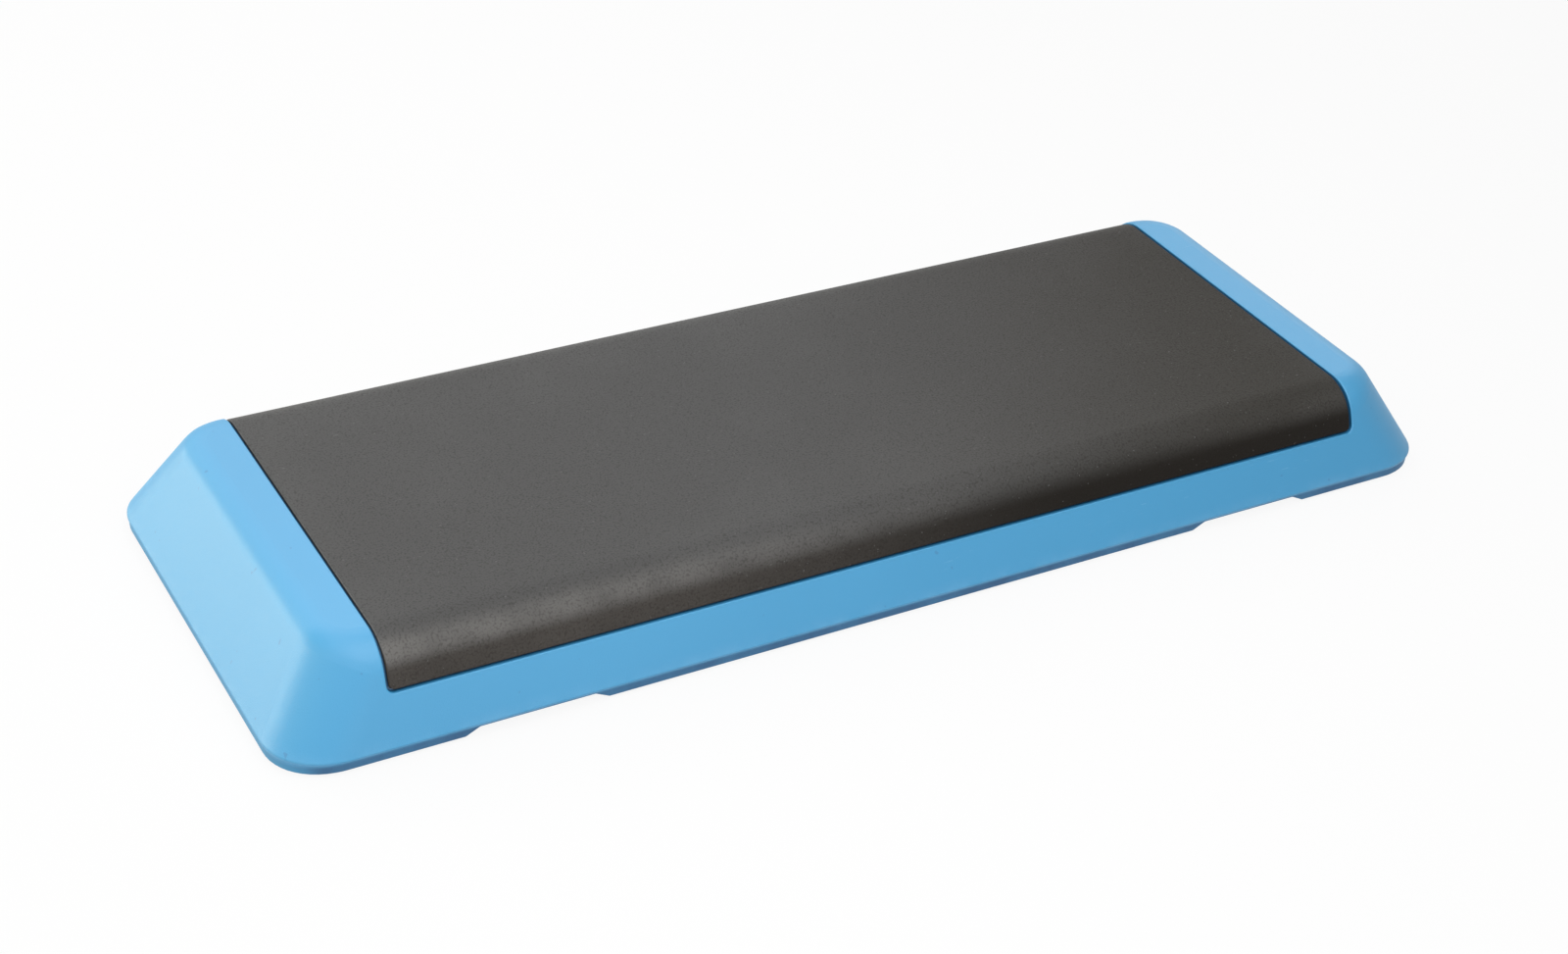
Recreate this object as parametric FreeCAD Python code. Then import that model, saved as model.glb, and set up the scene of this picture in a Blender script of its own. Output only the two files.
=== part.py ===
import FreeCAD, Part
import math
import os

# A club-size aerobic step platform.
# One moulded deck, open and ribbed underneath, carries a rubber tread mat that is bonded into a
# shallow recess over the top and down both long sides. Eight rubber feet are pressed into
# bosses beside the rim.
# +X runs along the deck to its right end, +Y to the rear, +Z up. The origin lies on the floor
# under the middle of the deck. Millimetres and degrees.

# Deck, measured over the lip at the foot of the skirt
deck_length = 1090.0
deck_width = 406.0
deck_height = 87.0
corner_radius = 49.0
wall = 4.0

# Drafts from the vertical, and the rounding along the top
end_draft = 32.4
side_draft = 20.9
roll_radius = 38.6
ridge_radius = 25.0

# Rounded lip at the foot of the skirt, and the rim that is jogged in below it
lip_round = 2.5
rim_height = 7.5
rim_inset = 3.0
rim_wall = 3.5

# Tread mat and its recess; end_land is the bare strip between the mat and the edge of the end
end_land = 42.0
mat_thickness = 4.0
mat_sink = 0.5
mat_reveal = 2.0
mat_edge_height = 50.7
mat_corner_radius = 4.0
mat_bevel = 1.5
recess_round = 1.2

# Rib grid under the deck; the space below it takes the raised top of a riser
rib_thickness = 3.0
rib_pitch = 90.0
nest_depth = 28.0

# Notches in the lower edge of the rim, where a riser is keyed under each end
notch_from_end = 205.0
notch_length = 120.0
notch_height = 6.0
notch_ramp = 12.0
notch_round = 3.0

# Rubber feet, square with cut corners, pressed into stepped bosses that overlap the rim
foot_stand = 3.0
foot_size = 24.0
foot_corner = 5.0
foot_seat = 8.0
foot_fit = 0.1
foot_chamfer = 1.5
foot_ledge = 4.0
boss_wall = 4.0
boss_height = 42.0
boss_bite = 1.5

# Heights, from the floor up
floor_z = 0.0
rim_z = floor_z + foot_stand
lip_z = rim_z + rim_height
top_z = rim_z + deck_height
rib_z = rim_z + nest_depth
mat_edge_z = rim_z + mat_edge_height

recess_depth = mat_sink + mat_thickness
mouth_inset = rim_inset + rim_wall
boss_offset = foot_fit + boss_wall

# Longer than the deck in any direction, for cuts that go right through
reach = deck_length + deck_width


def vec(x, y, z):
    return FreeCAD.Vector(x, y, z)


def box(x0, x1, y0, y1, z0, z1):
    return Part.makeBox(x1 - x0, y1 - y0, z1 - z0, vec(x0, y0, z0))


def one_solid(shape):
    return shape.removeSplitter().Solids[0]


def level(edge):
    return abs(edge.Vertexes[0].Z - edge.Vertexes[-1].Z) < 1e-6


def lies_on(edge, skin):
    """Whether an edge follows a skin, tested in its middle and near both ends."""
    span = edge.LastParameter - edge.FirstParameter
    points = [edge.valueAt(edge.FirstParameter + share * span) for share in (0.1, 0.5, 0.9)]
    return all(Part.Vertex(point).distToShape(skin)[0] < 1e-3 for point in points)


def seam(shape, window, form):
    """The edges of a shape where the walls of a window pass through the skin of a form."""
    near = [e for e in shape.Edges if lies_on(e, form.Shells[0])]
    return [e for e in near if lies_on(e, window.Shells[0])]


def hip_radius():
    """Fillet along a sloped hip that stands over a plan corner of corner_radius."""
    lean_x = math.tan(math.radians(end_draft))
    lean_y = math.tan(math.radians(side_draft))
    hip_lean = math.atan(math.hypot(lean_x, lean_y))
    between = math.acos(math.sin(math.radians(end_draft)) * math.sin(math.radians(side_draft)))
    cut_off = 1 / math.cos(between / 2) - 1
    return corner_radius * (math.sqrt(2) - 1) * math.cos(hip_lean) / cut_off


def half_size(overall, draft, inset, z):
    """Half the size of the deck's form at height z, with its walls moved in by inset."""
    lean = math.tan(math.radians(draft))
    across = 1 / math.cos(math.radians(draft))
    sharp_lip = overall / 2 + lip_round * (lean + across - 1)
    return sharp_lip - (z - lip_z) * lean - inset * across


def deck_quarter(inset, low_z):
    """The front left quarter of the deck's form, rounded along the hip and round the top."""
    high_z = top_z - inset
    low_x = half_size(deck_length, end_draft, inset, low_z)
    low_y = half_size(deck_width, side_draft, inset, low_z)
    high_x = half_size(deck_length, end_draft, inset, high_z)
    high_y = half_size(deck_width, side_draft, inset, high_z)
    block = Part.makeWedge(-low_x, low_z, 0, 0, -high_x, 0, high_z, low_y, high_y, 0)
    block.rotate(vec(0, 0, 0), vec(1, 0, 0), 90)

    def outside(edge):
        middle = edge.valueAt((edge.FirstParameter + edge.LastParameter) / 2)
        return middle.x < -1e-6 and middle.y < -1e-6

    hip = [e for e in block.Edges if outside(e) and not level(e)]
    block = block.makeFillet(hip_radius() - inset, hip)

    # The radius goes from the roll along the front to the ridge along the end within the corner.
    roll = roll_radius - inset
    ridge = ridge_radius - inset
    radii = []
    for number, edge in enumerate(block.Edges, 1):
        if not outside(edge) or not level(edge) or edge.Vertexes[0].Z < high_z - 1e-6:
            continue
        ends = edge.Vertexes
        if abs(ends[0].Y - ends[1].Y) < 1e-6:
            radii.append((number, roll, roll))
        elif abs(ends[0].X - ends[1].X) < 1e-6:
            radii.append((number, ridge, ridge))
        else:
            radii.append((number, ridge, roll))
    document = FreeCAD.newDocument("quarter")
    base = document.addObject("Part::Feature", "base")
    base.Shape = block
    rounded = document.addObject("Part::Fillet", "rounded")
    rounded.Base = base
    rounded.Edges = radii
    document.recompute()
    shape = rounded.Shape.copy()
    FreeCAD.closeDocument(document.Name)
    return shape.Solids[0]


def deck_form(inset, low_z):
    """The deck's whole outer form, with every face moved in by inset, from low_z up."""
    quarter = deck_quarter(inset, low_z)
    left = quarter.fuse(quarter.mirror(vec(0, 0, 0), vec(0, 1, 0)))
    return one_solid(left.fuse(left.mirror(vec(0, 0, 0), vec(1, 0, 0))))


def plan_prism(inset, low_z, high_z):
    """An upright prism on the outline that the deck's form has at the lip, moved in by inset."""
    form = deck_form(inset, lip_z)
    outline = [face for face in form.Faces if abs(face.CenterOfMass.z - lip_z) < 1e-6][0]
    outline.translate(vec(0, 0, low_z - lip_z))
    return outline.extrude(vec(0, 0, high_z - low_z))


def edges_at(shape, z):
    return [e for e in shape.Edges if all(abs(v.Z - z) < 1e-6 for v in e.Vertexes)]


def mat_window(margin):
    """The mat's outline in front view, carried through the deck, with a margin all round."""
    x = half_size(deck_length, end_draft, 0, top_z) - end_land + margin
    low_z = mat_edge_z - margin
    block = box(-x, x, -reach, reach, low_z, top_z + reach)
    corners = [e for e in edges_at(block, low_z) if abs(e.Vertexes[0].Y - e.Vertexes[1].Y) > 1e-6]
    return block.makeFillet(mat_corner_radius + margin, corners)


def foot_outline(offset):
    """Half the size of a foot's outline, and its corner cut, both moved out by offset."""
    return foot_size / 2 + offset, foot_corner + offset * (2 - math.sqrt(2))


def foot_prism(offset, x, y, z0, z1):
    """An upright prism on a foot's outline, moved out by offset."""
    half, cut = foot_outline(offset)
    short = half - cut
    corners = [(half, short), (short, half), (-short, half), (-half, short)]
    corners += [(-px, -py) for px, py in corners]
    points = [vec(x + px, y + py, z0) for px, py in corners]
    face = Part.Face(Part.makePolygon(points + points[:1]))
    return face.extrude(vec(0, 0, z1 - z0))


def foot_places():
    """Foot names and centres: one in each corner, and two under the middle of each long side."""
    mouth_x = half_size(deck_length, end_draft, mouth_inset, lip_z)
    mouth_y = half_size(deck_width, side_draft, mouth_inset, lip_z)
    half, cut = foot_outline(boss_offset)
    corner_room = corner_radius - mouth_inset
    corner_inset = corner_room - (corner_room + boss_bite) * math.sqrt(0.5) + half - cut / 2
    corner_x = mouth_x - corner_inset
    corner_y = mouth_y - corner_inset
    middle_x = rib_pitch
    middle_y = mouth_y - half + boss_bite
    places = {}
    for row, y_sign in (("front", -1), ("rear", 1)):
        for hand, x_sign in (("left", -1), ("right", 1)):
            places[f"foot_{row}_{hand}"] = (x_sign * corner_x, y_sign * corner_y)
            places[f"foot_{row}_mid_{hand}"] = (x_sign * middle_x, y_sign * middle_y)
    return places


def rib_grid():
    """Crossing ribs on one pitch, from the top plate down to the space for a riser."""
    columns = int(half_size(deck_length, end_draft, wall, rib_z) / rib_pitch)
    rows = int(half_size(deck_width, side_draft, wall, rib_z) / rib_pitch + 0.5)
    half = rib_thickness / 2
    ribs = []
    for column in range(-columns, columns + 1):
        x = column * rib_pitch
        ribs.append(box(x - half, x + half, -reach, reach, rib_z, top_z))
    for row in range(rows):
        y = (row + 0.5) * rib_pitch
        for side in (-y, y):
            ribs.append(box(-reach, reach, side - half, side + half, rib_z, top_z))
    return ribs[0].multiFuse(ribs[1:])


def rim_notches():
    """Ramped notches through the front and rear rim, a pair on each side of the middle."""
    centre = deck_length / 2 - notch_from_end
    half = notch_length / 2
    high_z = rim_z + notch_height
    low_z = rim_z - notch_height
    spread = 2 * notch_ramp
    notches = []
    for x in (-centre, centre):
        corners = [(x - half + notch_ramp, high_z), (x + half - notch_ramp, high_z)]
        corners += [(x + half + spread - notch_ramp, low_z), (x - half - spread + notch_ramp, low_z)]
        points = [vec(px, -reach, pz) for px, pz in corners]
        face = Part.Face(Part.makePolygon(points + points[:1]))
        prism = face.extrude(vec(0, 2 * reach, 0))
        upper = [e for e in edges_at(prism, high_z) if abs(e.Vertexes[0].Y - e.Vertexes[1].Y) > 1e-6]
        notches.append(prism.makeFillet(notch_round, upper))
    return notches


def deck_shell():
    skirt = deck_form(0, lip_z)
    skirt = skirt.makeFillet(lip_round, edges_at(skirt, lip_z))
    rim = plan_prism(rim_inset, rim_z, lip_z + wall)
    hollow = deck_form(wall, floor_z).common(plan_prism(mouth_inset, floor_z, top_z))
    shell = skirt.fuse(rim).cut(hollow)

    # Under the recess the wall keeps its thickness, so the top plate steps down with it.
    step = deck_form(wall / 2, lip_z).cut(deck_form(wall + recess_depth, rim_z))
    step = step.common(mat_window(mat_reveal + wall))
    inner_form = deck_form(wall / 2, floor_z)
    core_form = deck_form(wall + recess_depth, floor_z)
    ribs = rib_grid().common(inner_form)
    bosses = []
    sockets = []
    for x, y in foot_places().values():
        boss_top = rim_z + boss_height
        bosses.append(foot_prism(boss_offset, x, y, rim_z, boss_top).common(inner_form))
        sockets.append(foot_prism(foot_fit, x, y, floor_z, rim_z + foot_seat))
        sockets.append(foot_prism(-foot_ledge, x, y, rim_z, boss_top - boss_wall).common(core_form))
    shell = shell.multiFuse([step, ribs] + bosses)

    window = mat_window(mat_reveal)
    recess = window.cut(deck_form(recess_depth, rim_z))
    shell = one_solid(shell.cut([recess] + rim_notches() + sockets))
    return shell.makeFillet(recess_round, seam(shell, window, deck_form(0, lip_z)))


def tread_mat():
    form = deck_form(mat_sink, rim_z)
    window = mat_window(0)
    mat = one_solid(form.cut(deck_form(recess_depth, rim_z)).common(window))
    return mat.makeChamfer(mat_bevel, seam(mat, window, form))


def rubber_foot(x, y):
    foot = foot_prism(0, x, y, floor_z, rim_z + foot_seat)
    return foot.makeChamfer(foot_chamfer, edges_at(foot, floor_z))


nodes = {"deck_shell": deck_shell(), "tread_mat": tread_mat()}
for name, (x, y) in foot_places().items():
    nodes[name] = rubber_foot(x, y)

os.makedirs("parts", exist_ok=True)
for name, shape in nodes.items():
    shape.exportStep(f"parts/{name}.step")
    size = shape.optimalBoundingBox()
    print(f"{name}: {len(shape.Solids)} solids, {len(shape.Faces)} faces, valid {shape.isValid()}, "
          f"{size.XLength:.1f} x {size.YLength:.1f} x {size.ZLength:.1f} mm, {shape.Volume / 1000:.1f} cm3")
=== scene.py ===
# %% [markdown]
# # A step platform, dressed on its CAD frame
# The object is a low exercise step: one blue moulded deck, a grey rubber mat that wraps over both
# long edges, and eight small rubber feet beside the rim.
# The packed CAD model comes in first. It stays where it is, as the frame that every other piece is
# measured from, so nothing has to be fitted by eye. All lengths here are metres.

import bmesh
import bpy
import math
from mathutils import Matrix, Vector, noise


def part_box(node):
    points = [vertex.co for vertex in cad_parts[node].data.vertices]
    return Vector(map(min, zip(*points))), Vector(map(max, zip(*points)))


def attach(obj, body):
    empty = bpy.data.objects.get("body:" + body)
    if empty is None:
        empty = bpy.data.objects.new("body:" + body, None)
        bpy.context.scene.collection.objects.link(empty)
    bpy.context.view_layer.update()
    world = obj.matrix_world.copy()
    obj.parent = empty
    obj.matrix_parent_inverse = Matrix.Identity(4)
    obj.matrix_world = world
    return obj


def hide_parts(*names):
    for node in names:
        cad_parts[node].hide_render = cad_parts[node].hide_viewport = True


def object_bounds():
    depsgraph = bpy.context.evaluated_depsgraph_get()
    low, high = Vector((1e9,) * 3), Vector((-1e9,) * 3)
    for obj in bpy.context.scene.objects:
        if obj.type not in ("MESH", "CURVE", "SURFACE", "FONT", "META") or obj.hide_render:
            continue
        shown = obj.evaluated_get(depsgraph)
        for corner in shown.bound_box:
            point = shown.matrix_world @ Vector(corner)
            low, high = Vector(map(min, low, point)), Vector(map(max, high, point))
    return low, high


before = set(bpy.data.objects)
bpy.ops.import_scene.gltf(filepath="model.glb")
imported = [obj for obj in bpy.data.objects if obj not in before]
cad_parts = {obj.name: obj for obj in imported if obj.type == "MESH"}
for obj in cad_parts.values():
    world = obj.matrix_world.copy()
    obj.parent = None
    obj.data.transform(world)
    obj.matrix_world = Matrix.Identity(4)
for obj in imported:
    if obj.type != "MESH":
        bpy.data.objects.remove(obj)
cad_low, cad_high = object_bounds()
print("CAD box, mm:", [round(1000 * side) for side in cad_high - cad_low])

# %% [markdown]
# ## Camera
# The picture is taken from in front of the left end, looking down by about a third of a right
# angle, with the camera turned a little about its own line of sight.
# A Track To constraint would aim the camera, but it always keeps the horizon level. Three turns in a
# row can also lean the picture: up from straight down, round the object, and about the line of sight.

# %% Camera
camera_place = Vector((-1.0189, -1.6287, 1.2738))
camera_azimuth = math.radians(-31.66)
camera_elevation = math.radians(33.38)
camera_roll = math.radians(4.63)
lens_mm = 60.61
sensor_mm = 36.0


def add_object(name, data):
    """Puts a mesh, a lamp or a camera into the scene as an object."""
    item = bpy.data.objects.new(name, data)
    bpy.context.scene.collection.objects.link(item)
    return item


camera_data = bpy.data.cameras.new("camera")
camera_data.sensor_width = sensor_mm
camera_data.lens = lens_mm
camera = add_object("camera", camera_data)
round_object = Matrix.Rotation(camera_azimuth, 4, "Z")
look_down = Matrix.Rotation(math.pi / 2 - camera_elevation, 4, "X")
about_sight = Matrix.Rotation(camera_roll, 4, "Z")
camera.matrix_world = Matrix.Translation(camera_place) @ round_object @ look_down @ about_sight
bpy.context.scene.camera = camera
print("camera", [round(value, 3) for value in camera.location], "lens, mm:", lens_mm)

# %% [markdown]
# ## Shader maths
# A finish is a small graph of nodes. Wired by hand in code, even `1 - mask` takes three lines, and
# the sum is lost among the wiring. So one class holds a node's output socket and takes part in plain
# Python sums: each sum adds the Math node that works it out.
# Any other node comes from one method, which takes the node's type, its settings and its inputs.

# %% Sums on sockets
class Wire:
    """An output socket of a node tree. Sums on it add Math nodes."""

    def __init__(self, tree, socket=None):
        self.tree = tree
        self.socket = socket

    def add(self, kind, settings=None, inputs=None, output=0):
        """Adds a node, sets it up and gives back a wire from one of its outputs."""
        node = self.tree.nodes.new(kind)
        for name, value in (settings or {}).items():
            setattr(node, name, value)
        for name, value in (inputs or {}).items():
            if isinstance(value, Wire):
                self.tree.links.new(value.socket, node.inputs[name])
            else:
                node.inputs[name].default_value = value
        return Wire(self.tree, node.outputs[output] if node.outputs else None)

    def sum(self, operation, first, second):
        return self.add("ShaderNodeMath", {"operation": operation}, {0: first, 1: second})

    def __add__(self, other):
        return self.sum("ADD", self, other)

    def __radd__(self, other):
        return self.sum("ADD", other, self)

    def __sub__(self, other):
        return self.sum("SUBTRACT", self, other)

    def __rsub__(self, other):
        return self.sum("SUBTRACT", other, self)

    def __mul__(self, other):
        return self.sum("MULTIPLY", self, other)

    def __rmul__(self, other):
        return self.sum("MULTIPLY", other, self)

    def either(self, other):
        """The larger of the two values."""
        return self.sum("MAXIMUM", self, other)

    def rise(self, low, high):
        """0 below low, 1 above high, and a smooth step between them."""
        inputs = {"Value": self, "From Min": low, "From Max": high}
        return self.add("ShaderNodeMapRange", {"interpolation_type": "SMOOTHSTEP"}, inputs)

    def mix(self, start, end):
        """A colour that goes from start to end as this value goes from 0 to 1."""
        # A Mix node has sockets for every type of data: 6, 7 and output 2 are those for colours.
        inputs = {0: self, 6: start, 7: end}
        return self.add("ShaderNodeMix", {"data_type": "RGBA"}, inputs, output=2)


print("sums on sockets:", [name for name in vars(Wire) if not name.startswith("__")])

# %% [markdown]
# ## Floor
# The platform stands on a plain white floor. Left to the lamps alone the floor would turn grey
# away from them, and more lamps would bleach the object. So most of the floor's white is its own, for
# the camera and for reflections, and the rest still takes the soft shadow.
# The floor has no underside: seen from below it lets the view through.

# %% Floor finish
floor_lit_grey = 0.75
floor_lit_share = 0.09


def new_finish(name):
    """An empty material, with a wire to build its nodes from."""
    material = bpy.data.materials.new(name)
    material.use_nodes = True
    material.node_tree.nodes.clear()
    return material, Wire(material.node_tree)


def grey(value):
    return (value, value, value, 1.0)


def seen_or_reflected(wire):
    """1 for rays from the camera and from gloss or glass, 0 for rays that only light."""
    camera_ray = wire.add("ShaderNodeLightPath", output="Is Camera Ray")
    glossy_ray = wire.add("ShaderNodeLightPath", output="Is Glossy Ray")
    glass_ray = wire.add("ShaderNodeLightPath", output="Is Transmission Ray")
    return camera_ray.either(glossy_ray).either(glass_ray)


def floor_finish():
    material, wire = new_finish("floor_white")
    lit = wire.add("ShaderNodeBsdfDiffuse", inputs={"Color": grey(floor_lit_grey)})
    own = wire.add("ShaderNodeEmission", inputs={"Color": grey(1.0), "Strength": 1.0})
    share = seen_or_reflected(wire) * (1 - floor_lit_share)
    top = wire.add("ShaderNodeMixShader", inputs={0: share, 1: lit, 2: own})
    clear = wire.add("ShaderNodeBsdfTransparent")
    below = wire.add("ShaderNodeNewGeometry", output="Backfacing")
    both = wire.add("ShaderNodeMixShader", inputs={0: below, 1: top, 2: clear})
    wire.add("ShaderNodeOutputMaterial", inputs={"Surface": both})
    return material


floor_white = floor_finish()
print("floor_white has", len(floor_white.node_tree.nodes), "nodes")

# %% Floor plane
floor_size = 14.0

corner_signs = ((-1, -1), (1, -1), (1, 1), (-1, 1))
floor_corners = [(x * floor_size / 2, y * floor_size / 2, cad_low.z) for x, y in corner_signs]
floor_mesh = bpy.data.meshes.new("floor")
floor_mesh.from_pydata(floor_corners, [], [(0, 1, 2, 3)])
floor_mesh.materials.append(floor_white)
floor = add_object("floor", floor_mesh)
print("floor at", round(cad_low.z, 4))

# %% [markdown]
# ## Surroundings
# Satin plastic shows what is around it. A picture of a real room could light the object, but it
# would also bring that room's colours and shapes. A plain white world keeps the blue as it is
# written: it is full white where it is seen or mirrored, and nearly dark as a light, so that the
# lamps shape the form.

# %% Surroundings
surroundings_light = 0.05

world = bpy.data.worlds.new("surroundings")
world.use_nodes = True
world.node_tree.nodes.clear()
sky = Wire(world.node_tree)
sky_strength = seen_or_reflected(sky) * (1 - surroundings_light) + surroundings_light
sky_shader = sky.add("ShaderNodeBackground", inputs={"Color": grey(1.0), "Strength": sky_strength})
sky.add("ShaderNodeOutputWorld", inputs={"Surface": sky_shader})
bpy.context.scene.world = world
bpy.context.scene.view_settings.view_transform = "Standard"
print("surroundings light the object at", surroundings_light)

# %% [markdown]
# ## Lamps
# The light in the picture is soft and comes mostly from above and from the left, and it fades to the
# right. The glossy plastic shows more: the end face mirrors something broad and low behind the left
# end, and the front skirt mirrors something low in front. One big lamp can't light each face by its
# own amount, so a few soft panels stand where the faces mirror them, at low power.
# Three panels at the left are a little warm, which takes the purple out of the blue end face.

# %% Lamps
plain_white = (1.0, 1.0, 1.0)
warm_white = (1.0, 0.99, 0.83)
object_middle = (cad_low + cad_high) / 2


def soft_lamp(name, spot, width, height, watts, colour=plain_white):
    """A rectangular lamp at spot that faces the middle of the object."""
    data = bpy.data.lights.new(name, "AREA")
    data.shape = "RECTANGLE"
    data.size = width
    data.size_y = height
    data.energy = watts
    data.color = colour
    lamp = add_object(name, data)
    lamp.location = spot
    to_object = object_middle - Vector(spot)
    lamp.rotation_euler = to_object.to_track_quat("-Z", "Y").to_euler()
    print(name, watts, "W")


soft_lamp("overhead_left", (-0.55, -0.60, 1.15), 1.9, 1.6, 11.5)
soft_lamp("overhead_middle", (0.15, -0.70, 1.30), 2.0, 1.4, 12.5)
soft_lamp("behind", (-0.1, 1.05, 1.25), 1.8, 1.8, 16.0)
soft_lamp("behind_left", (-1.3, 1.4, 1.0), 1.0, 0.8, 3.6)
soft_lamp("behind_left_low", (-1.6, 1.15, 0.18), 1.4, 0.32, 10.5, warm_white)
soft_lamp("behind_right", (1.7, 1.1, 0.85), 0.9, 0.7, 4.0)
soft_lamp("left_low", (-2.0, 0.6, 0.35), 1.2, 0.6, 5.0, warm_white)
soft_lamp("left", (-1.8, -0.3, 0.90), 0.8, 0.8, 2.2, warm_white)
soft_lamp("left_front", (-1.6, -1.5, 0.45), 1.2, 0.7, 2.5)
soft_lamp("front_low", (0.0, -2.2, 0.25), 1.6, 0.4, 5.4)

# %% [markdown]
# ## Helpers for every finish
# Textures are placed by the object's own coordinates. Unwrapping every piece would also work, but the
# CAD frame is in metres, so a noise can be given by its number of features to a metre instead.
# Stretching those coordinates makes long marks out of round ones.
# A noise gives values from 0 to 1, mostly near one half. `rise` turns a narrow range of them into a
# mask, and the two numbers that it takes set how much of the surface is marked and how softly.

# %% Texture helpers
def place(wire):
    """The object's own coordinates, in metres."""
    return wire.add("ShaderNodeTexCoord", output="Object")


def axis(vector, letter):
    """The X, Y or Z of a vector."""
    return vector.add("ShaderNodeSeparateXYZ", inputs={0: vector}, output=letter)


def clouds(where, per_metre, detail=2.0, roughness=0.5):
    """Noise with about that many features to a metre."""
    inputs = {"Vector": where, "Scale": per_metre, "Detail": detail, "Roughness": roughness}
    return where.add("ShaderNodeTexNoise", inputs=inputs)


def long_marks(where, along, across):
    """Noise drawn out along X: its features to a metre along X, and across it."""
    inputs = {0: where, 1: (along, across, across)}
    drawn_out = where.add("ShaderNodeVectorMath", {"operation": "MULTIPLY"}, inputs)
    return clouds(drawn_out, 1.0)


def relief(height, depth):
    """A normal that stands for a relief of that depth in metres."""
    inputs = {"Height": height, "Distance": depth, "Strength": 1.0}
    return height.add("ShaderNodeBump", inputs=inputs)


def close_finish(material, wire, inputs):
    """Ends a finish with one Principled shader."""
    shader = wire.add("ShaderNodeBsdfPrincipled", inputs=inputs)
    wire.add("ShaderNodeOutputMaterial", inputs={"Surface": shader})
    print(material.name, "has", len(wire.tree.nodes), "nodes")
    return material


print("textures:", [helper.__name__ for helper in (clouds, long_marks, relief)])

# %% [markdown]
# ## Wear on the deck
# A moulding that is carried and put down is rubbed paler along the lip that meets hands and floors,
# and gets a few thin scuffs. Wear could be painted on by hand, but masks made of height and noise
# stay right when the deck gets longer or wider. Heights are counted from the floor.

# %% Deck wear
rub_start = 0.007
rub_most = 0.009
rub_end = 0.024
rub_share = 0.15
scratches_along = 45.0
scratches_across = 800.0
scratch_share = 0.35


def deck_wear(where):
    """How much of the colour is rubbed away: along the lip, and in patches of thin scratches."""
    height = axis(where, "Z")
    on_lip = height.rise(rub_start, rub_most) * (1 - height.rise(rub_most, rub_end))
    rubbed = on_lip * clouds(where, per_metre=38.0, detail=5.0, roughness=0.6).rise(0.30, 0.75)
    patches = clouds(where, per_metre=7.0).rise(0.52, 0.68)
    scratches = long_marks(where, scratches_along, scratches_across).rise(0.70, 0.76) * patches
    return (rubbed * rub_share).either(scratches * scratch_share)


print("the lip is rubbed up to, mm:", round(1000 * rub_end))

# %% [markdown]
# ## Painted shade on the deck
# Shade is painted dark into the narrow groove round the mat and onto the rim near the floor, where it
# thins out at both ends. Ambient Occlusion finds the groove by how little of the open air each point
# sees, but it misses the rim, which lies open. So the height finds that one.

# %% Deck painted shade
rim_shade_full = 0.008
rim_shade_none = 0.011
rim_share = 0.62
streak_share = 0.25
end_start = 0.510
end_full = 0.534
end_share = 0.7
groove_reach = 0.006
groove_samples = 8
groove_share = 0.8


def painted_rim_shade(where):
    """Painted shade near the floor: streaky, and thinner at both ends."""
    low = 1 - axis(where, "Z").rise(rim_shade_full, rim_shade_none)
    streaks = clouds(where, per_metre=26.0, detail=4.0, roughness=0.6).rise(0.25, 0.75)
    along = axis(where, "X")
    at_ends = (along * along).rise(end_start**2, end_full**2)
    return low * (rim_share + streak_share * streaks) * (1 - end_share * at_ends)


def painted_groove_shade(wire):
    """Painted shade where a point sees little of the open air."""
    settings = {"samples": groove_samples}
    inputs = {"Distance": groove_reach}
    open_air = wire.add("ShaderNodeAmbientOcclusion", settings, inputs, output="AO")
    return groove_share * (1 - open_air.rise(0.2, 0.95))


# The height up to which the rim is painted dark, as shade.
print("the rim is darkened up to, mm:", round(1000 * rim_shade_none))

# %% [markdown]
# ## Deck plastic
# The deck is moulded in coloured plastic with a fine, even grain from the mould, and a satin gloss.
# One flat blue looks like paint on a screen. A real moulding drifts a little in tone and has a few
# dull specks, and wear goes over it. Shade is painted dark into the groove round the mat and onto the
# rim near the floor. Wear and the darkened rim take some of its gloss.
# The form is right in the CAD, so the deck's own mesh stays and only its material changes.

# %% Deck finish
deck_blue = (0.039, 0.296, 0.550, 1.0)
deck_blue_deep = (0.034, 0.280, 0.525, 1.0)
scuff_blue = (0.30, 0.52, 0.74, 1.0)
speck_blue = (0.030, 0.16, 0.36, 1.0)
# The blue of the painted shade in the groove and on the rim.
painted_shade_blue = (0.004, 0.048, 0.140, 1.0)
speck_share = 0.5
deck_roughness = 0.41
grain_dulls = 0.08
wear_dulls = 0.18
rim_shade_dulls = 0.25
deck_specular = 0.8
deck_grain_depth = 0.00012


def deck_finish():
    material, wire = new_finish("deck_plastic")
    where = place(wire)
    wear = deck_wear(where)
    near_floor = painted_rim_shade(where)
    drift = clouds(where, per_metre=2.6).rise(0.35, 0.65)
    specks = clouds(where, per_metre=130.0, detail=1.0).rise(0.76, 0.80)
    grain = clouds(where, per_metre=900.0, detail=3.0, roughness=0.6)

    colour = drift.mix(deck_blue, deck_blue_deep)
    colour = wear.mix(colour, scuff_blue)
    colour = (specks * speck_share).mix(colour, speck_blue)
    # Painted shade: the groove round the mat and the rim near the floor are painted dark.
    colour = painted_groove_shade(wire).either(near_floor).mix(colour, painted_shade_blue)
    roughness = deck_roughness + grain_dulls * grain + wear_dulls * wear + rim_shade_dulls * near_floor
    inputs = {"Base Color": colour, "Roughness": roughness, "Specular IOR Level": deck_specular}
    inputs["Normal"] = relief(grain, deck_grain_depth)
    return close_finish(material, wire, inputs)


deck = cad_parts["deck_shell"]
deck.data.materials.clear()
deck.data.materials.append(deck_finish())

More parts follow.
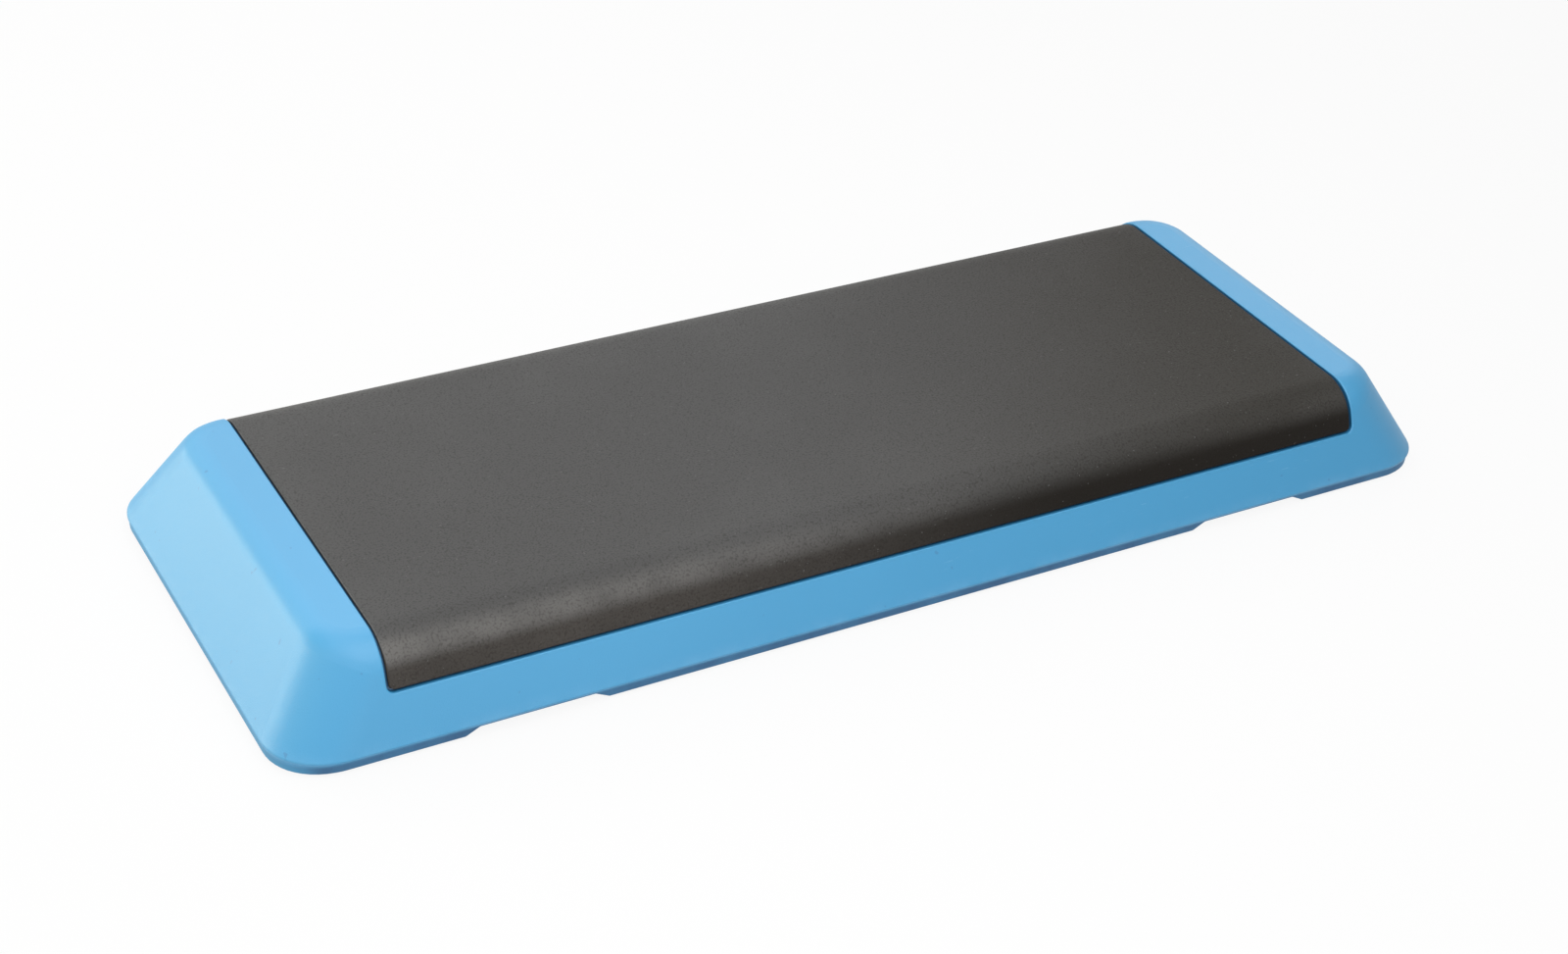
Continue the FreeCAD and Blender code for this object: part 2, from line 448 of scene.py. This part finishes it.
# %% [markdown]
# ## Tread mat
# The mat is one sheet of rubber, bonded into the deck's recess. It lies flat on top, rolls over
# both long edges and ends a little way down the skirt, with rounded lower corners.
# A flat sheet could be bent round the edges by a modifier, but a profile drawn first puts the roll
# exactly where the recess has it. The profile is worked out for the rear half and mirrored.

# %% Mat profile
mat_low, mat_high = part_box("tread_mat")
side_lean = math.radians(20.9)
deck_roll = 0.0386
mat_sink = 0.0005
mat_roll = deck_roll - mat_sink
mat_chamfer = 0.0015
flat_rows = 22
roll_rows = 24
skirt_rows = 6

# The CAD mat is widest where its chamfer starts, so its sharp lower edge would lie further out.
edge_y = mat_high.y + mat_chamfer * math.sin(side_lean)
roll_z = mat_high.z - mat_roll
roll_y = edge_y - (mat_roll + (roll_z - mat_low.z) * math.sin(side_lean)) / math.cos(side_lean)


def rear_half():
    """Points (y, z) of the mat's outer face from the middle to the rear edge."""
    points = [(roll_y * row / flat_rows, mat_high.z) for row in range(flat_rows)]
    for row in range(roll_rows + 1):
        angle = math.pi / 2 + (side_lean - math.pi / 2) * row / roll_rows
        points.append((roll_y + mat_roll * math.cos(angle), roll_z + mat_roll * math.sin(angle)))
    start_y, start_z = points[-1]
    for row in range(1, skirt_rows + 1):
        share = row / skirt_rows
        points.append((start_y + (edge_y - start_y) * share, start_z + (mat_low.z - start_z) * share))
    return points


half_profile = rear_half()
mat_profile = [(-y, z) for y, z in reversed(half_profile)] + half_profile[1:]
print("mat profile has", len(mat_profile), "points")

# %% [markdown]
# ## Mat sheet
# A CAD face is dead flat, and real rubber sheet never is. So the mat is a grid that can have slight
# waves: its rows follow the profile, its columns run along the platform and crowd together near the
# ends, and each point is pushed in by less than a quarter of a millimetre.
# Solidify then gives the sheet its thickness, and Bevel a soft edge.

# %% Mat grid
mat_corner = 0.004
mat_columns = 120
end_crowding = 0.35
wave_height = 0.00012
waves_per_metre = 9.0


def half_length(z):
    """Half the mat's length at height z: shorter where its lower corners are rounded."""
    drop = max(0.0, mat_corner - (z - mat_low.z))
    return mat_high.x - mat_corner + math.sqrt(mat_corner**2 - drop**2)


def column_share(column):
    """A column's place along the mat, from -1 at one end to 1 at the other."""
    even = 2 * column / mat_columns - 1
    crowded = math.sin(math.pi / 2 * even)
    return end_crowding * crowded + (1 - end_crowding) * even


def mat_mesh():
    shares = [column_share(column) for column in range(mat_columns + 1)]
    points = [(share * half_length(z), y, z) for y, z in mat_profile for share in shares]
    wide = len(shares)
    faces = []
    for row in range(len(mat_profile) - 1):
        for column in range(mat_columns):
            first = row * wide + column
            faces.append((first, first + 1, first + wide + 1, first + wide))
    mesh = bpy.data.meshes.new("tread_mat_rubber")
    mesh.from_pydata(points, [], faces)
    mesh.update()
    for vertex in mesh.vertices:
        wave = noise.noise(vertex.co * waves_per_metre) - 1
        vertex.co += vertex.normal * wave_height * wave
    mesh.shade_smooth()
    return mesh


mat = add_object("tread_mat_rubber", mat_mesh())
print("mat grid:", len(mat.data.vertices), "points")

# %% Mat thickness and edge
mat_thickness = 0.004
mat_soft_edge = 0.0018
edge_segments = 3
sharp_angle = math.radians(50)

# The waves push the sheet in by up to twice their height, and it has to clear the recess floor.
mat_clearance = 3 * wave_height
solid = mat.modifiers.new("thickness", "SOLIDIFY")
solid.thickness = mat_thickness - mat_clearance
solid.offset = -1
soft_edge = mat.modifiers.new("soft_edge", "BEVEL")
soft_edge.width = mat_soft_edge
soft_edge.segments = edge_segments
soft_edge.limit_method = "ANGLE"
soft_edge.angle_limit = sharp_angle
soft_edge.harden_normals = True
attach(mat, "root")
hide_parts("tread_mat")
print("mat sheet, mm thick:", round(1000 * solid.thickness, 2))

# %% [markdown]
# ## Dust, painted shade and a painted highlight on the mat
# Black rubber goes grey in use, and dust settles where the rubber faces up. The low edge is painted
# nearly black, as shade, and brown at the left, as dust and as painted light. Towards the right the
# top is painted darker and a little warmer, as shade. A paler band is painted along the roll where it
# starts to turn over, as a highlight, most of all at the left. Which way the surface faces tells the
# top from the roll and the low edge. Each pair below is where a change starts and ends: along the mat
# in metres from its middle, or by slope, the height of the surface normal, which is 1 where the
# rubber is level.

# %% Mat colours
# The near black and the brown paint the low edge, as shade and, at the left, as dust and light. The
# darker warm grey is painted shade at the right end, and the palest grey a painted highlight on the
# roll.
rubber_black = (0.0100, 0.0082, 0.0064, 1.0)
rubber_brown = (0.060, 0.054, 0.049, 1.0)
rubber_right_shade = (0.0285, 0.0258, 0.0212, 1.0)
rubber_grey = (0.071, 0.0705, 0.0700, 1.0)
rubber_dusty = (0.088, 0.0875, 0.0870, 1.0)
rubber_roll_highlight = (0.160, 0.155, 0.149, 1.0)
right_shade_along = (-0.13, 0.51)
right_shade_slant = 0.4
right_shade_least = 0.66
right_shade_patches = 0.20
brown_along = (-0.25, 0.18)
brown_least = 0.6
brown_patches = 0.4
highlight_left = (-0.45, 0.15)
highlight_right = (0.20, 0.42)
highlight_right_share = 0.15
highlight_share = 0.9
top_slope = (0.34, 0.92)
roll_low_slope = (0.40, 0.68)
roll_high_slope = (0.76, 0.995)


def top_colour(where, dust):
    """Grey with dust, and painted darker towards the right end along a slanting line, as shade."""
    slanted = axis(where, "X") - right_shade_slant * axis(where, "Y")
    # Painted shade: the top grows darker towards the right end.
    right_shade = slanted.rise(*right_shade_along) * (right_shade_least + right_shade_patches * dust)
    return right_shade.mix(dust.mix(rubber_grey, rubber_dusty), rubber_right_shade)


def low_edge_colour(where, mottle):
    """Black as painted shade, and brown at the left, as dust and as painted light."""
    at_left = 1 - axis(where, "X").rise(*brown_along)
    # Painted light: the low edge is lighter and brown at the left, as dust and as light.
    dust_and_light = at_left * (brown_least + brown_patches * mottle)
    return dust_and_light.mix(rubber_black, rubber_brown)


def roll_highlight(where, slope, mottle):
    """How much painted highlight the roll takes: most at the left, and a little at the right end."""
    along = axis(where, "X")
    rolling = slope.rise(*roll_low_slope) * (1 - slope.rise(*roll_high_slope))
    # Painted highlight, strongest at the left.
    highlight_along = 1 - along.rise(*highlight_left) + highlight_right_share * along.rise(*highlight_right)
    return rolling * highlight_along * mottle * highlight_share


# The right end of the mat is painted darker, as shade, over this span.
print("the mat's dust thins out over, mm:", [round(1000 * x) for x in right_shade_along])

# %% [markdown]
# ## Mat rubber
# The rubber has a fine pebbled grain. The grain is far too small to model, so it is a bump of cells
# less than two millimetres across. The gaps between the cells are darker, and a few pale flecks lie
# on the mat. Shoes polish the tops of the grain and dust dulls them, so the roughness follows both.

# %% Mat finish
pebbles_per_metre = 620.0
pebble_blend = 0.4
pebble_depth = 0.00016
fine_share = 0.4
gap_share = 0.3
fleck_grey = grey(0.22)
fleck_share = 0.25
rubber_roughness = 0.52
gaps_dull = 0.16
dust_dulls = 0.08
rubber_specular = 0.10
rubber_sheen = 0.04
rubber_sheen_roughness = 0.4


def pebbles(where):
    """Rounded cells: 0 in the middle of each, higher in the gaps between them."""
    inputs = {"Vector": where, "Scale": pebbles_per_metre, "Smoothness": pebble_blend}
    return where.add("ShaderNodeTexVoronoi", {"feature": "SMOOTH_F1"}, inputs)


def mat_finish():
    material, wire = new_finish("mat_rubber")
    where = place(wire)
    slope = axis(wire.add("ShaderNodeNewGeometry", output="Normal"), "Z")
    dust = clouds(where, per_metre=4.0, detail=3.0).rise(0.38, 0.66)
    mottle = clouds(where, per_metre=14.0, detail=4.0, roughness=0.6).rise(0.10, 0.72)
    cells = pebbles(where)
    flecks = clouds(where, per_metre=420.0, detail=1.0).rise(0.72, 0.80)
    fine = clouds(where, per_metre=1500.0)

    # Dust on the top, and painted shade on the low edge, chosen by slope.
    colour = slope.rise(*top_slope).mix(low_edge_colour(where, mottle), top_colour(where, dust))
    # Painted highlight along the roll.
    colour = roll_highlight(where, slope, mottle).mix(colour, rubber_roll_highlight)
    colour = (cells.rise(0.45, 0.85) * gap_share).mix(colour, rubber_black)
    colour = (flecks * fleck_share).mix(colour, fleck_grey)
    roughness = rubber_roughness + gaps_dull * cells + dust_dulls * dust
    inputs = {"Base Color": colour, "Roughness": roughness, "Specular IOR Level": rubber_specular}
    inputs["Sheen Weight"] = rubber_sheen
    inputs["Sheen Roughness"] = rubber_sheen_roughness
    inputs["Normal"] = relief((1 - cells) + fine_share * fine, pebble_depth)
    return close_finish(material, wire, inputs)


mat.data.materials.append(mat_finish())

# %% [markdown]
# ## Feet
# Eight rubber pads are pressed into the deck beside the rim, and only three millimetres of each
# stand out. The CAD pads have cut corners and flat chamfers, and moulded rubber has no sharp edge.
# A Bevel modifier on the CAD mesh would round nothing, because a CAD mesh isn't joined along its
# edges. So each pad is made again from its node's own faces, joined first, with every edge rounded.

# %% Foot finish
foot_black = (0.020, 0.020, 0.021, 1.0)
foot_dusty = (0.055, 0.053, 0.050, 1.0)
foot_roughness = 0.55
foot_dust_dulls = 0.25
foot_grain_depth = 0.00008


def foot_finish():
    material, wire = new_finish("foot_rubber")
    where = place(wire)
    dust = clouds(where, per_metre=160.0, detail=3.0).rise(0.45, 0.70)
    fine = clouds(where, per_metre=1800.0)
    colour = dust.mix(foot_black, foot_dusty)
    roughness = foot_roughness + foot_dust_dulls * dust
    inputs = {"Base Color": colour, "Roughness": roughness, "Normal": relief(fine, foot_grain_depth)}
    return close_finish(material, wire, inputs)


foot_rubber = foot_finish()

# %% Foot pads
same_point = 1e-6
same_face = math.radians(1)
foot_edge = 0.0006
round_profile = 0.5


def rounded_pad(node):
    """A copy of a foot's faces, joined at their edges, with the edges rounded."""
    shape = bmesh.new()
    shape.from_mesh(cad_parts[node].data)
    bmesh.ops.remove_doubles(shape, verts=shape.verts, dist=same_point)
    bmesh.ops.dissolve_limit(shape, angle_limit=same_face, verts=shape.verts, edges=shape.edges)
    bmesh.ops.bevel(shape, geom=shape.edges[:], affect="EDGES", offset=foot_edge,
                    segments=edge_segments, profile=round_profile)
    mesh = bpy.data.meshes.new(node + "_pad")
    shape.to_mesh(mesh)
    shape.free()
    mesh.shade_smooth()
    mesh.materials.append(foot_rubber)
    pad = add_object(node + "_pad", mesh)
    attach(pad, "root")
    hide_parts(node)


foot_nodes = sorted(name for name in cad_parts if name.startswith("foot_"))
for node in foot_nodes:
    rounded_pad(node)
print("feet:", len(foot_nodes))

# %% [markdown]
# ## Close
# The dressed object has to be the CAD object's size.
